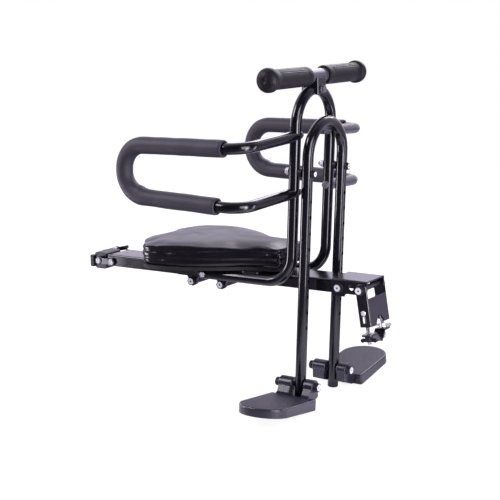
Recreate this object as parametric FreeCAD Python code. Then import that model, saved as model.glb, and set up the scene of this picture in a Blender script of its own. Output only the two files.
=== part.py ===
import FreeCAD, Part
import math
import os

# Child seat for a bicycle's crossbar. X runs along the beam the way the child faces, +Y is the child's left,
# +Z is up. Sizes in this file are laid out from the beam's top face; put() moves every piece to the
# clamp's centre.

os.makedirs("parts", exist_ok=True)
V = FreeCAD.Vector
UP = V(0, 0, 1)
FORE = V(1, 0, 0)
LEFT = V(0, 1, 0)

# fits
TOUCH = 0.05        # between pieces bolted or welded together
RUN = 0.06          # radial, pin in a turning piece
SLACK = 0.35        # between pieces that move past each other
HOLE = 0.2          # radial, bolt in a drilled hole

# tubes
TUBE_R = 8.6
TUBE_WALL = 1.5
HALF_TRACK = 53.0   # centre of either leg from the middle
LEAN = math.radians(3.2)
BEND_R = 45.0

# beam
BEAM_W = 53.0
BEAM_H = 20.5
SHEET = 2.5
BEAM_X0 = -417.0
BEAM_X1 = 62.0

# seat frame and leg frame
RAIL_Z = -7.0
RAIL_X0 = -195.0
FRAME_X = -23.0     # leg axis of the seat frame at the beam's top
FRAME_TOP = 291.0
LEG_X = 0.2         # leg axis of the leg frame at the beam's top
LEG_TOP = 242.3
LEG_FOOT = -198.5
FRAME_BOLT_Z = 167.0
LEG_HOLE_PITCH = 25.0
LEG_HOLE_TOP = 125.0
LEG_HOLES = 9

# guards beside the child
GUARD_Y = 179.4
GUARD_TOP = 215.0
GUARD_LOW = 127.5   # at the front corner
GUARD_TAPER = 9.0   # rise of the lower run towards the rear
GUARD_DROP = 8.0    # from the leg down to the front corner
GUARD_SWEEP = 14.0  # from the leg back to the front corner
GUARD_REAR = -243.0
GUARD_END_R = 38.0
GUARD_BEND_R = 33.0
FOAM_R = 13.4
FOAM_TOP_X = -55.0
FOAM_LOW_X = -70.0

# handlebar
BAR_R = 11.0
BAR_HALF = 140.0
BAR_Z = FRAME_TOP + TUBE_R + BAR_R + 0.5
GRIP_R = 15.0
GRIP_FLANGE_R = 18.2
GRIP_IN = 25.0
GRIP_END = BAR_HALF + 5.0

# seat
PAD_Z0 = 9.6
PAD_Z1 = 44.5
PAD_NOSE = -50.0
PAD_REAR = -314.0
PAD_NOSE_HALF = 45.0
PAD_HALF = 113.0
BOARD_T = 5.8
BOARD_INSET = 9.0

# carriage under the seat
CAR_X0 = -262.0
CAR_X1 = -148.0
LUG_XS = (-231.0, -172.0)
LUG_Z = -BEAM_H - 8.0
LUG_R = 8.0
RAIL_BOLT_X = -187.0

# footrests
FOOT_AXIS_Z = -169.6
FOOT_PIN_R = 4.0
KNUCKLE_R = 11.0
KNUCKLE_FORE = 17.0
KNUCKLE_AFT = 24.0
FOOT_IN = 19.5      # from the leg's axis to the plate's inner edge
FOOT_OUT = 139.0    # from the leg's axis to the plate's outer edge
FOOT_HALF = 41.0
FOOT_MID_X = -9.5
FOOT_TOP = 12.3     # plate's top below the pin, at the inner edge
FOOT_T = 17.0
FOOT_THIN = 3.5     # how much thinner the plate is at its outer edge
FOOT_RISE = 7.3     # degrees that the plate climbs outwards
FOOT_WALL = 3.0

# clamp for the seat post
BRACKET_X0 = 36.0
BRACKET_X1 = 97.0
BRACKET_BOLT_X = 48.5
SPARE_X = 69.5
SPARE_Z = -9.8
SPARE_R = 4.25
PIVOT = V(87.0, 0, -10.8)
ARM_LEAN = 8.2
ARM_W = 20.0
ARM_L = 58.0
CROSS_PIN_Z = -ARM_L + 22.0
CROSS_PIN_R = 4.0
NOTCH_TOP = -ARM_L + 16.0
STUD_Y = 24.5
STUD_R = 3.0
EYE_R = 7.0
EYE_W = 8.0
JAW_Z = -ARM_L - 12.0
JAW_T = 3.0
JAW_W = 18.0
JAW_HALF = 33.0
STUD_END = JAW_Z - 17.0
VEE_HALF = 14.0
POST_Z = -ARM_L - 5.0      # middle of a gripped post below the pivot
KNOB_H = 8.6
KNOB_SPAN = 14.0
WING_H = 6.2
WING_SPAN = 16.5

# cradle at the head tube
LINK_X = -407.0
CRADLE_X = -436.0
LINK_Z = -13.0
LINK_PIN_R = 4.0
LINK_T = 2.5
BLOCK_X0 = -452.0
BLOCK_X1 = -427.0
BLOCK_HALF = 20.0
BLOCK_LOW = -29.0
PAD_X0 = -461.0
PAD_HALF_Y = 24.0
PAD_LOW = -26.0
PAD_TALL = 20.0
PAD_VEE = 6.5       # depth of the vee
PAD_VEE_HALF = 19.0
LEVER_X = -447.0
LEVER_Z = -4.5
LEVER_AFT = 34.0
LEVER_FORE = 24.5
LEVER_TILT = 12.5
LEVER_PIN_R = 2.5

# screws
M5 = 2.5
M6 = 3.0
M8 = 4.0
WASHER_T = 1.4

arm_turn = math.radians(ARM_LEAN)
ORIGIN = V(PIVOT.x - POST_Z * math.sin(arm_turn), 0, PIVOT.z + POST_Z * math.cos(arm_turn))


def put(node, *solids):
    shape = solids[0] if len(solids) == 1 else Part.makeCompound(list(solids))
    placed = shape.copy()
    placed.translate(ORIGIN * -1)
    placed.exportStep("parts/" + node + ".step")


def block(x0, x1, y0, y1, z0, z1):
    return Part.makeBox(x1 - x0, y1 - y0, z1 - z0, V(x0, y0, z0))


def rod(radius, start, end):
    run = end - start
    return Part.makeCylinder(radius, run.Length, start, run)


def bent_path(points, radii):
    """Straight runs joined by tangent bends, as a tube bender makes them."""
    edges = []
    here = points[0]
    for corner, before, after, radius in zip(points[1:-1], points, points[2:], radii):
        inward = (corner - before).normalize()
        outward = (after - corner).normalize()
        half = inward.getAngle(outward) / 2
        reach = radius * math.tan(half)
        start = corner - inward * reach
        end = corner + outward * reach
        to_centre = (outward - inward).normalize()
        middle = corner + to_centre * (radius / math.cos(half) - radius)
        if (start - here).Length > 0.01:
            edges.append(Part.makeLine(here, start))
        edges.append(Part.Arc(start, middle, end).toShape())
        here = end
    edges.append(Part.makeLine(here, points[-1]))
    return edges


def swept(radius, edges):
    path = Part.Wire(edges)
    first = edges[0]
    ring = Part.Wire([Part.makeCircle(radius, first.valueAt(first.FirstParameter),
                                      first.tangentAt(first.FirstParameter))])
    return path.makePipeShell([ring], True, False)


def tube(edges):
    return swept(TUBE_R, edges).cut(swept(TUBE_R - TUBE_WALL, edges))


def mirrored(shape):
    return shape.mirror(V(0, 0, 0), LEFT)


def edges_where(shape, test):
    return [edge for edge in shape.Edges if test(edge.CenterOfMass, edge)]


def along(edge, axis):
    if not isinstance(edge.Curve, Part.Line):
        return False
    return abs(abs(edge.tangentAt(edge.FirstParameter).dot(axis)) - 1) < 1e-4


def hexagon(across, height, start, axis):
    """Hexagon prism with a broken top edge, standing on start along axis."""
    corner = across / 2 / math.cos(math.pi / 6)
    ring = [V(corner * math.cos(k * math.pi / 3), corner * math.sin(k * math.pi / 3), 0) for k in range(7)]
    prism = Part.Face(Part.makePolygon(ring)).extrude(V(0, 0, height))
    cone = Part.makeCone(across / 2 + height * 1.9, across / 2 - 0.2, height + 0.01)
    prism = prism.common(cone)
    prism.Placement = FreeCAD.Placement(start, FreeCAD.Rotation(UP, axis))
    return prism


def bolt(radius, head, end, washer=True):
    """Bolt lying from the underside of its head to its tip, hexagon head outside, washer with it."""
    axis = (end - head).normalize()
    shaft = rod(radius, head - axis * 0.01, end)
    height = radius * 1.25
    if not washer:
        return shaft.fuse(hexagon(radius * 3.2, height, head, axis * -1)).removeSplitter()
    flat = rod(radius * 2.05, head, head - axis * WASHER_T)
    top = hexagon(radius * 3.2, height, head - axis * WASHER_T, axis * -1)
    return shaft.fuse(flat).fuse(top).removeSplitter()


def nut(radius, seat, axis):
    """Hexagon nut on its washer, bored to clear the bolt it turns on."""
    flat = rod(radius * 2.05, seat, seat + axis * WASHER_T)
    body = flat.fuse(hexagon(radius * 3.2, radius * 1.6, seat + axis * WASHER_T, axis))
    bore = rod(radius + TOUCH, seat - axis, seat + axis * (radius * 1.6 + 3))
    return body.cut(bore).removeSplitter()


def leg_point(x_at_beam, z, y=0.0):
    return V(x_at_beam + math.tan(LEAN) * z, y, z)


LEG_UP = V(math.sin(LEAN), 0, math.cos(LEAN))
LEG_OUT = V(math.cos(LEAN), 0, -math.sin(LEAN))


# beam: pressed channel, open downwards, that lies along the bicycle's crossbar
def channel(x0, x1, half_inside, z_inside, wall, z_low):
    outside = block(x0, x1, -half_inside - wall, half_inside + wall, z_low, z_inside + wall)
    shoulders = edges_where(outside, lambda c, e: along(e, FORE) and c.z > z_inside)
    outside = outside.makeFillet(wall + 0.6, shoulders)
    inside = block(x0 - 1, x1 + 1, -half_inside, half_inside, z_low - 1, z_inside)
    corners = edges_where(inside, lambda c, e: along(e, FORE) and c.z > z_low)
    return outside.cut(inside.makeFillet(0.6, corners))


def cross_hole(x, z, radius, half):
    return rod(radius, V(x, -half, z), V(x, half, z))


half_beam = BEAM_W / 2
beam = channel(BEAM_X0, BEAM_X1, half_beam - SHEET, -SHEET, SHEET, -BEAM_H)
beam = beam.cut(cross_hole(LINK_X, LINK_Z, LINK_PIN_R + RUN, 60))
beam = beam.cut(cross_hole(BRACKET_BOLT_X, PIVOT.z, M8 + HOLE, 60))
# the free end is cut back at the top so the links can swing
beam = beam.cut(block(BEAM_X0 - 1, BEAM_X0 + 6, -half_beam + SHEET, half_beam - SHEET, -SHEET - 1, 1))
put("beam", beam)

# bracket over the beam's clamp end: a second channel with a deeper lug at its bolt
bracket_in = half_beam + TOUCH
bracket_out = bracket_in + SHEET
bracket = channel(BRACKET_X0, BRACKET_X1, bracket_in, TOUCH, SHEET, -BEAM_H - 4)
LUG_END = BRACKET_BOLT_X + 9
step_cut = Part.Face(Part.makePolygon([
    V(LUG_END, 0, -BEAM_H - 5), V(LUG_END, 0, -BEAM_H - 3), V(LUG_END + 3, 0, -BEAM_H + 0.8),
    V(BRACKET_X1 + 1, 0, -BEAM_H + 0.8), V(BRACKET_X1 + 1, 0, -BEAM_H - 5), V(LUG_END, 0, -BEAM_H - 5)]))
bracket = bracket.cut(step_cut.extrude(LEFT * 80)).cut(step_cut.extrude(LEFT * -80))
bracket = bracket.cut(cross_hole(BRACKET_BOLT_X, PIVOT.z, M8 + HOLE, 60))
bracket = bracket.cut(cross_hole(SPARE_X, SPARE_Z, SPARE_R, 60))
bracket = bracket.cut(cross_hole(PIVOT.x, PIVOT.z, M8 + TOUCH, 60))
# the end's lower corners are rounded about the pivot
for side in (-1, 1):
    ys = sorted((side * (bracket_in - 1), side * (bracket_out + 1)))
    corner = block(PIVOT.x, BRACKET_X1 + 1, ys[0], ys[1], -BEAM_H * 2, PIVOT.z)
    corner = corner.cut(rod(BRACKET_X1 - PIVOT.x, V(PIVOT.x, -60, PIVOT.z), V(PIVOT.x, 60, PIVOT.z)))
    bracket = bracket.cut(corner)
put("clamp_bracket", bracket)

bolt_y = bracket_out + TOUCH
put("bracket_bolt", bolt(M8, V(BRACKET_BOLT_X, -bolt_y, PIVOT.z), V(BRACKET_BOLT_X, bolt_y + 11, PIVOT.z)))
put("bracket_nut", nut(M8, V(BRACKET_BOLT_X, bolt_y, PIVOT.z), LEFT))

# clamp arm: channel that hangs from the bracket, web towards the post, with a vee notch at its free end
arm_in = bracket_out + SLACK
arm_out = arm_in + SHEET
fore = ARM_W / 2 + 0.5
aft = fore - ARM_W


def arm_place(shape):
    placed = shape.copy()
    placed.rotate(V(0, 0, 0), LEFT, -ARM_LEAN)
    placed.translate(PIVOT)
    return placed


arm = block(aft, fore, -arm_out, arm_out, -ARM_L, 9.5)
crown_edges = edges_where(arm, lambda c, e: along(e, LEFT) and c.z > 9)
arm = arm.makeFillet(8.5, crown_edges)
folds = edges_where(arm, lambda c, e: along(e, UP) and c.x > fore - 0.1)
arm = arm.makeFillet(3.0, folds)
arm = arm.cut(block(aft - 1, fore - SHEET, -arm_in, arm_in, -ARM_L - 1, 11))
arm = arm.cut(block(fore - SHEET - 1, fore + 1, -arm_in, arm_in, -15, 11))
notch_half = VEE_HALF + 1.5
notch = Part.Face(Part.makePolygon([
    V(0, -notch_half, -ARM_L - 1), V(0, -1.5, NOTCH_TOP), V(0, 1.5, NOTCH_TOP),
    V(0, notch_half, -ARM_L - 1), V(0, -notch_half, -ARM_L - 1)]))
arm = arm.cut(notch.extrude(FORE * 20))
arm = arm.cut(rod(M8 + RUN, V(0, -60, 0), V(0, 60, 0)))
arm = arm.cut(rod(CROSS_PIN_R + TOUCH, V(0, -60, CROSS_PIN_Z), V(0, 60, CROSS_PIN_Z)))
# relief slot beside the cross pin, through which the eye of a stud can be seen
for side in (-1, 1):
    ys = sorted((side * (arm_in - 1), side * (arm_out + 1)))
    arm = arm.cut(block(-STUD_R - 0.2, STUD_R + 0.2, ys[0], ys[1], CROSS_PIN_Z - 2 * EYE_W, CROSS_PIN_Z))
put("clamp_arm", arm_place(arm))

pivot_y = arm_out + SLACK
put("arm_pivot_bolt", bolt(M8, V(PIVOT.x, -pivot_y, PIVOT.z), V(PIVOT.x, pivot_y + 11, PIVOT.z)))
put("arm_pivot_nut", nut(M8, V(PIVOT.x, pivot_y, PIVOT.z), LEFT))

pin = rod(CROSS_PIN_R, V(0, -arm_out - 0.8, CROSS_PIN_Z), V(0, arm_out + 0.8, CROSS_PIN_Z))
pin = pin.makeChamfer(0.6, [e for e in pin.Edges if isinstance(e.Curve, Part.Circle)])
put("cross_pin", arm_place(pin))

# two studs with eyes swing on the cross pin and carry the jaw
studs = []
for side in (-1, 1):
    y = side * STUD_Y
    eye = rod(EYE_R, V(0, y - EYE_W / 2, CROSS_PIN_Z), V(0, y + EYE_W / 2, CROSS_PIN_Z))
    shank = rod(STUD_R, V(0, y, CROSS_PIN_Z - EYE_R + 1.5), V(0, y, STUD_END))
    bore = rod(CROSS_PIN_R + RUN, V(0, y - EYE_W, CROSS_PIN_Z), V(0, y + EYE_W, CROSS_PIN_Z))
    stud = eye.fuse(shank).cut(bore)
    tip = edges_where(stud, lambda c, e: c.z < STUD_END + 0.1)
    studs.append(arm_place(stud.makeChamfer(0.8, tip)))
put("swing_studs", *studs)

# jaw: plate bent to a vee with a flat ear at each side
drop = JAW_T / math.cos(math.pi / 4)
vee_z = JAW_Z - VEE_HALF
knee = VEE_HALF - JAW_T + drop
under = JAW_Z - JAW_T
jaw_line = [V(0, -JAW_HALF, JAW_Z), V(0, -VEE_HALF, JAW_Z), V(0, 0, vee_z), V(0, VEE_HALF, JAW_Z),
            V(0, JAW_HALF, JAW_Z), V(0, JAW_HALF, under), V(0, knee, under), V(0, 0, vee_z - drop),
            V(0, -knee, under), V(0, -JAW_HALF, under), V(0, -JAW_HALF, JAW_Z)]
jaw = Part.Face(Part.makePolygon(jaw_line)).extrude(FORE * JAW_W)
jaw.translate(V(-JAW_W / 2, 0, 0))
jaw = jaw.makeFillet(4.0, edges_where(jaw, lambda c, e: along(e, UP) and abs(c.y) > JAW_HALF - 0.1))
jaw = jaw.makeFillet(3.5, edges_where(jaw, lambda c, e: along(e, FORE) and c.z < vee_z - 1))
for side in (-1, 1):
    jaw = jaw.cut(rod(STUD_R + 0.4, V(0, side * STUD_Y, JAW_Z - 9), V(0, side * STUD_Y, JAW_Z + 9)))
put("jaw", arm_place(jaw))

lock_seat = V(0, STUD_Y, JAW_Z - JAW_T - TOUCH)
lock_nut = hexagon(10.0, 5.0, lock_seat, UP * -1).cut(rod(STUD_R + RUN, lock_seat + UP, lock_seat - UP * 9))
put("lock_nut", arm_place(lock_nut))


def wing_piece(seat, axis, height, hub_r, span, lobe, thick, rise):
    """Hub with two rounded lobes that stand off its sides, bored for its stud."""
    top = seat + axis * height
    hub = Part.makeCone(hub_r, hub_r - 1.2, height, seat, axis)
    mid = seat + axis * (height * 0.62)
    for way in (-1, 1):
        tip = mid + FORE * (way * (span - lobe)) + axis * rise
        ear = rod(lobe, tip - LEFT * (thick / 2), tip + LEFT * (thick / 2))
        inner = mid + FORE * (way * hub_r * 0.5)
        neck = rod(lobe * 0.72, inner - LEFT * (thick / 2), inner + LEFT * (thick / 2))
        web = block(min(inner.x, tip.x), max(inner.x, tip.x), seat.y - thick / 2, seat.y + thick / 2,
                    min(inner.z, tip.z) - lobe * 0.7, max(inner.z, tip.z) + lobe * 0.5)
        hub = hub.fuse(ear).fuse(neck).fuse(web)
    return hub.cut(rod(STUD_R + RUN, seat - axis, top + axis)).removeSplitter()


knob_seat = V(0, -STUD_Y, JAW_Z - JAW_T - SLACK)
knob = wing_piece(knob_seat, UP * -1, KNOB_H, 6.5, KNOB_SPAN, 3.2, 4.5, KNOB_H * 0.15)
put("clamp_knob", arm_place(knob))
wing_seat = V(0, STUD_Y, JAW_Z + SLACK)
put("wing_nut", arm_place(wing_piece(wing_seat, UP, WING_H, 6.0, WING_SPAN, 3.0, 3.0, 0)))

# cradle end: two links swing on the beam and carry a block with a rubber vee for the head tube
links = []
link_in = half_beam + SLACK
link_out = link_in + LINK_T
for side in (-1, 1):
    inner = V(0, side * link_in, LINK_Z)
    outer = V(0, side * link_out, LINK_Z)
    ends = [rod(6.5, inner + FORE * x, outer + FORE * x) for x in (LINK_X, CRADLE_X)]
    ys = sorted((side * link_in, side * link_out))
    plate = ends[0].fuse(ends[1]).fuse(block(CRADLE_X, LINK_X, ys[0], ys[1], LINK_Z - 5.2, LINK_Z + 5.2))
    plate = plate.cut(cross_hole(LINK_X, LINK_Z, LINK_PIN_R + TOUCH, 60))
    plate = plate.cut(cross_hole(CRADLE_X, LINK_Z, LINK_PIN_R + RUN, 60))
    links.append(plate.removeSplitter())
put("links", *links)


def rivet(x, z, radius, half):
    """Cross pin with a domed head at each end."""
    made = rod(radius, V(x, -half - 0.1, z), V(x, half + 0.1, z))
    for side in (-1, 1):
        seat = V(x, side * half, z)
        head = rod(radius + 1.8, seat, seat + LEFT * (side * 2.2))
        rim = edges_where(head, lambda c, e: abs(c.y) > half + 2)
        made = made.fuse(head.makeFillet(1.4, rim))
    return made


put("link_pin", rivet(LINK_X, LINK_Z, LINK_PIN_R, link_out + TOUCH))
put("cradle_pin", rivet(CRADLE_X, LINK_Z, LINK_PIN_R, link_out + SLACK))

cradle = block(BLOCK_X0, BLOCK_X1, -BLOCK_HALF, BLOCK_HALF, BLOCK_LOW, 0)
cradle = cradle.makeFillet(4.0, edges_where(cradle, lambda c, e: along(e, LEFT)))
cradle = cradle.cut(cross_hole(CRADLE_X, LINK_Z, LINK_PIN_R + TOUCH, 60))
cradle = cradle.cut(rod(LEVER_PIN_R + TOUCH, V(LEVER_X, 6, LEVER_Z), V(LEVER_X, 60, LEVER_Z)))
# hub bosses carry the block out to the links
for side in (-1, 1):
    boss_end = V(CRADLE_X, side * (link_in - SLACK), LINK_Z)
    boss = rod(7.0, V(CRADLE_X, side * (BLOCK_HALF - 1), LINK_Z), boss_end)
    cradle = cradle.fuse(boss.cut(cross_hole(CRADLE_X, LINK_Z, LINK_PIN_R + TOUCH, 60)))
put("cradle_block", cradle.removeSplitter())

pad_back = BLOCK_X0 - TOUCH
pad_outline = [V(pad_back, -PAD_HALF_Y), V(PAD_X0, -PAD_HALF_Y), V(PAD_X0, -PAD_VEE_HALF),
               V(PAD_X0 + PAD_VEE, 0), V(PAD_X0, PAD_VEE_HALF), V(PAD_X0, PAD_HALF_Y),
               V(pad_back, PAD_HALF_Y), V(pad_back, -PAD_HALF_Y)]
pad = Part.Face(Part.makePolygon(pad_outline)).extrude(UP * PAD_TALL)
pad.translate(UP * PAD_LOW)
pad = pad.makeFillet(1.8, edges_where(pad, lambda c, e: along(e, UP) and abs(c.y) > PAD_VEE_HALF - 1))
put("cradle_pad", pad)

# lever on the left of the block, raised at its free end
lever_in = link_out + SLACK + 2.2 + SLACK
lever = block(-LEVER_AFT, LEVER_FORE, lever_in, lever_in + 4, -3.6, 3.6)
lever = lever.makeFillet(3.0, edges_where(lever, lambda c, e: along(e, LEFT)))
lever = lever.fuse(rod(5.5, V(0, lever_in, 0), V(0, lever_in + 4, 0)))
lever = lever.fuse(block(LEVER_FORE - 10, LEVER_FORE, lever_in, lever_in + 7, -1.2, 3.6)).removeSplitter()
lever = lever.cut(rod(LEVER_PIN_R + RUN, V(0, 0, 0), V(0, 60, 0)))
lever.rotate(V(0, 0, 0), LEFT, -LEVER_TILT)
lever.translate(V(LEVER_X, 0, LEVER_Z))
put("latch_lever", lever)

lever_face = V(LEVER_X, lever_in + 4 + SLACK, LEVER_Z)
lever_pin = rod(LEVER_PIN_R, V(LEVER_X, 7, LEVER_Z), lever_face)
lever_head = rod(5.0, lever_face, V(LEVER_X, lever_in + 6.5, LEVER_Z))
lever_collar = rod(5.0, V(LEVER_X, BLOCK_HALF + TOUCH, LEVER_Z), V(LEVER_X, lever_in - SLACK, LEVER_Z))
put("lever_pin", lever_pin.fuse(lever_head).fuse(lever_collar).removeSplitter())

# seat frame: one tube bent to rails, legs and a round crown
frame_path = bent_path(
    [V(RAIL_X0, -HALF_TRACK, RAIL_Z), leg_point(FRAME_X, RAIL_Z, -HALF_TRACK),
     leg_point(FRAME_X, FRAME_TOP, -HALF_TRACK), leg_point(FRAME_X, FRAME_TOP, HALF_TRACK),
     leg_point(FRAME_X, RAIL_Z, HALF_TRACK), V(RAIL_X0, HALF_TRACK, RAIL_Z)],
    [BEND_R, HALF_TRACK, HALF_TRACK, BEND_R])
seat_frame = tube(frame_path)

# leg frame: a plain inverted U that straddles the beam, drilled down each leg for height
leg_path = bent_path(
    [leg_point(LEG_X, LEG_FOOT, -HALF_TRACK), leg_point(LEG_X, LEG_TOP, -HALF_TRACK),
     leg_point(LEG_X, LEG_TOP, HALF_TRACK), leg_point(LEG_X, LEG_FOOT, HALF_TRACK)],
    [HALF_TRACK, HALF_TRACK])
leg_frame = tube(leg_path)

frame_gap = (LEG_X - FRAME_X) * math.cos(LEAN)
bolts = []
nuts = []
spacers = []
for side in (-1, 1):
    y = side * HALF_TRACK
    at_leg = leg_point(LEG_X, FRAME_BOLT_Z, y)
    at_frame = at_leg - LEG_OUT * frame_gap
    drill = rod(M6 + HOLE, at_frame - LEG_OUT * 30, at_leg + LEG_OUT * 30)
    seat_frame = seat_frame.cut(drill)
    leg_frame = leg_frame.cut(drill)
    for k in range(LEG_HOLES):
        spot = leg_point(LEG_X, LEG_HOLE_TOP - k * LEG_HOLE_PITCH, y)
        leg_frame = leg_frame.cut(rod(M6 + HOLE, spot - LEG_OUT * 14, spot + LEG_OUT * 14))
    foot = leg_point(LEG_X, FOOT_AXIS_Z, y)
    leg_frame = leg_frame.cut(rod(FOOT_PIN_R + TOUCH, foot - FORE * 20, foot + FORE * 20))
    bolts.append(bolt(M6, at_leg + LEG_OUT * (TUBE_R + TOUCH), at_frame - LEG_OUT * (TUBE_R + 9)))
    nuts.append(nut(M6, at_frame - LEG_OUT * (TUBE_R + TOUCH), LEG_OUT * -1))
    ring = rod(6.5, at_frame + LEG_OUT * (TUBE_R + 0.03), at_leg - LEG_OUT * (TUBE_R + 0.03))
    spacers.append(ring.cut(rod(M6 + TOUCH, at_frame, at_leg)))
put("frame_bolts", *bolts)
put("frame_nuts", *nuts)
put("frame_spacers", *spacers)


def plug(end, outward):
    """Moulded plug: a domed disc outside, a stub pressed in the tube's end."""
    disc = rod(TUBE_R, end + outward * TOUCH, end + outward * 3)
    disc = disc.makeFillet(1.6, [e for e in disc.Edges if (e.CenterOfMass - end).dot(outward) > 2.5])
    depth = RAIL_BOLT_X - RAIL_X0 - M5 - 1
    stub = rod(TUBE_R - TUBE_WALL - TOUCH, end - outward * depth, end + outward * 1)
    return disc.fuse(stub).removeSplitter()


put("leg_plugs", *[plug(leg_point(LEG_X, LEG_FOOT, side * HALF_TRACK), LEG_UP * -1) for side in (-1, 1)])
put("rail_plugs", *[plug(V(RAIL_X0, side * HALF_TRACK, RAIL_Z), FORE * -1) for side in (-1, 1)])

# guards: a loop of tube beside the child, its ends coped to the seat frame's legs
joint_top = leg_point(FRAME_X, GUARD_TOP + GUARD_DROP, HALF_TRACK)
joint_low = leg_point(FRAME_X, GUARD_LOW + GUARD_DROP, HALF_TRACK)
corner_top = V(joint_top.x - GUARD_SWEEP, GUARD_Y, GUARD_TOP)
corner_low = V(joint_low.x - GUARD_SWEEP, GUARD_Y, GUARD_LOW)
rear_top = V(GUARD_REAR, GUARD_Y, GUARD_TOP)
rear_low = V(GUARD_REAR, GUARD_Y, GUARD_LOW + GUARD_TAPER)
guard_path = bent_path([joint_top, corner_top, rear_top, rear_low, corner_low, joint_low],
                       [GUARD_BEND_R, GUARD_END_R, GUARD_END_R, GUARD_BEND_R])
leg_core = rod(TUBE_R + TOUCH, leg_point(FRAME_X, 60, HALF_TRACK), leg_point(FRAME_X, 260, HALF_TRACK))
inboard = block(-80, 60, 0, HALF_TRACK + 2.5, 60, 300)
guard = tube(guard_path).cut(leg_core).cut(inboard)
put("left_guard", guard)
put("right_guard", mirrored(guard))

foam_low = rear_low + (corner_low - rear_low) * ((FOAM_LOW_X - GUARD_REAR) / (corner_low.x - GUARD_REAR))
foam_path = bent_path([V(FOAM_TOP_X, GUARD_Y, GUARD_TOP), rear_top, rear_low, foam_low],
                      [GUARD_END_R, GUARD_END_R])
foam = swept(FOAM_R, foam_path)
foam = foam.makeFillet(2.0, edges_where(foam, lambda c, e: c.x > FOAM_LOW_X - 0.5))
foam = foam.cut(swept(TUBE_R + SLACK, foam_path))
put("left_guard_foam", foam)
put("right_guard_foam", mirrored(foam))

guard_plugs = []
guard_bolts = []
for joint, corner in ((joint_top, corner_top), (joint_low, corner_low)):
    out = (corner - joint).normalize()
    # the washer lies square to the bolt, so its rim sets how close it comes to the leg
    lift = M6 * 2.05 * abs(out.dot(LEG_UP))
    leg_side = joint - out * (TUBE_R + TOUCH + lift)
    core = rod(TUBE_R - TUBE_WALL - TOUCH, joint + out * 12, joint + out * 36)
    core = core.cut(rod(M6 + TOUCH, joint, joint + out * 50))
    screw = bolt(M6, leg_side, joint + out * 34)
    drill = rod(M6 + HOLE, leg_side - out * 5, joint + out * 16)
    guard_plugs += [mirrored(core), core]
    guard_bolts += [mirrored(screw), screw]
    seat_frame = seat_frame.cut(drill).cut(mirrored(drill))
put("guard_plugs", *guard_plugs)
put("guard_bolts", *guard_bolts)

# handlebar across the crown, on a saddle that is bolted through the crown
bar_x = leg_point(FRAME_X, FRAME_TOP).x
bar = rod(BAR_R, V(bar_x, -BAR_HALF, BAR_Z), V(bar_x, BAR_HALF, BAR_Z))
put("handle_bar", bar.cut(rod(BAR_R - 2, V(bar_x, -BAR_HALF - 1, BAR_Z), V(bar_x, BAR_HALF + 1, BAR_Z))))

saddle = block(bar_x - 13.5, bar_x + 13.5, -13, 13, FRAME_TOP - 8, BAR_Z - 2)
saddle = saddle.makeFillet(3.0, edges_where(saddle, lambda c, e: along(e, UP)))
saddle = saddle.cut(rod(BAR_R + TOUCH, V(bar_x, -40, BAR_Z), V(bar_x, 40, BAR_Z)))
saddle = saddle.cut(swept(TUBE_R + TOUCH, frame_path))
saddle = saddle.cut(block(bar_x - TUBE_R, bar_x + TUBE_R, -40, 40, 200, FRAME_TOP - 3))
saddle_hole = rod(M6 + HOLE, V(bar_x - 40, 0, FRAME_TOP), V(bar_x + 40, 0, FRAME_TOP))
saddle = saddle.cut(saddle_hole)
seat_frame = seat_frame.cut(saddle_hole)
put("bar_saddle", saddle)
put("saddle_bolt", bolt(M6, V(bar_x + 13.5 + TOUCH, 0, FRAME_TOP), V(bar_x - 22, 0, FRAME_TOP)))
put("saddle_nut", nut(M6, V(bar_x - 13.5 - TOUCH, 0, FRAME_TOP), FORE * -1))

# grips: moulded sleeves with a stop flange and a closed end
outline = [(BAR_R + TOUCH, GRIP_IN), (13.4, GRIP_IN), (GRIP_R, GRIP_IN + 3.5)]
for k in range(4):
    y = GRIP_IN + 9 + 4.5 * k
    outline += [(GRIP_R, y), (GRIP_R - 0.9, y + 0.6), (GRIP_R - 0.9, y + 1.6), (GRIP_R, y + 2.2)]
outline += [(GRIP_R, GRIP_END - 26), (GRIP_R - 0.8, GRIP_END - 25.2), (GRIP_R - 0.8, GRIP_END - 23.5),
            (GRIP_R + 0.2, GRIP_END - 22), (GRIP_FLANGE_R - 0.8, GRIP_END - 18),
            (GRIP_FLANGE_R, GRIP_END - 16.5), (GRIP_FLANGE_R, GRIP_END - 10),
            (GRIP_FLANGE_R - 1.2, GRIP_END - 7.6), (GRIP_R - 1.0, GRIP_END - 3.5), (GRIP_R - 5, GRIP_END),
            (4.0, GRIP_END), (2.6, GRIP_END - 1.4), (0, GRIP_END - 1.4),
            (0, BAR_HALF + TOUCH), (BAR_R + TOUCH, BAR_HALF + TOUCH), (BAR_R + TOUCH, GRIP_IN)]
grip_face = Part.Face(Part.makePolygon([V(bar_x + r, y, BAR_Z) for r, y in outline]))
grip = grip_face.revolve(V(bar_x, 0, BAR_Z), LEFT, 360)
put("left_grip", grip)
put("right_grip", mirrored(grip))

put("leg_frame", leg_frame)

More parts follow.
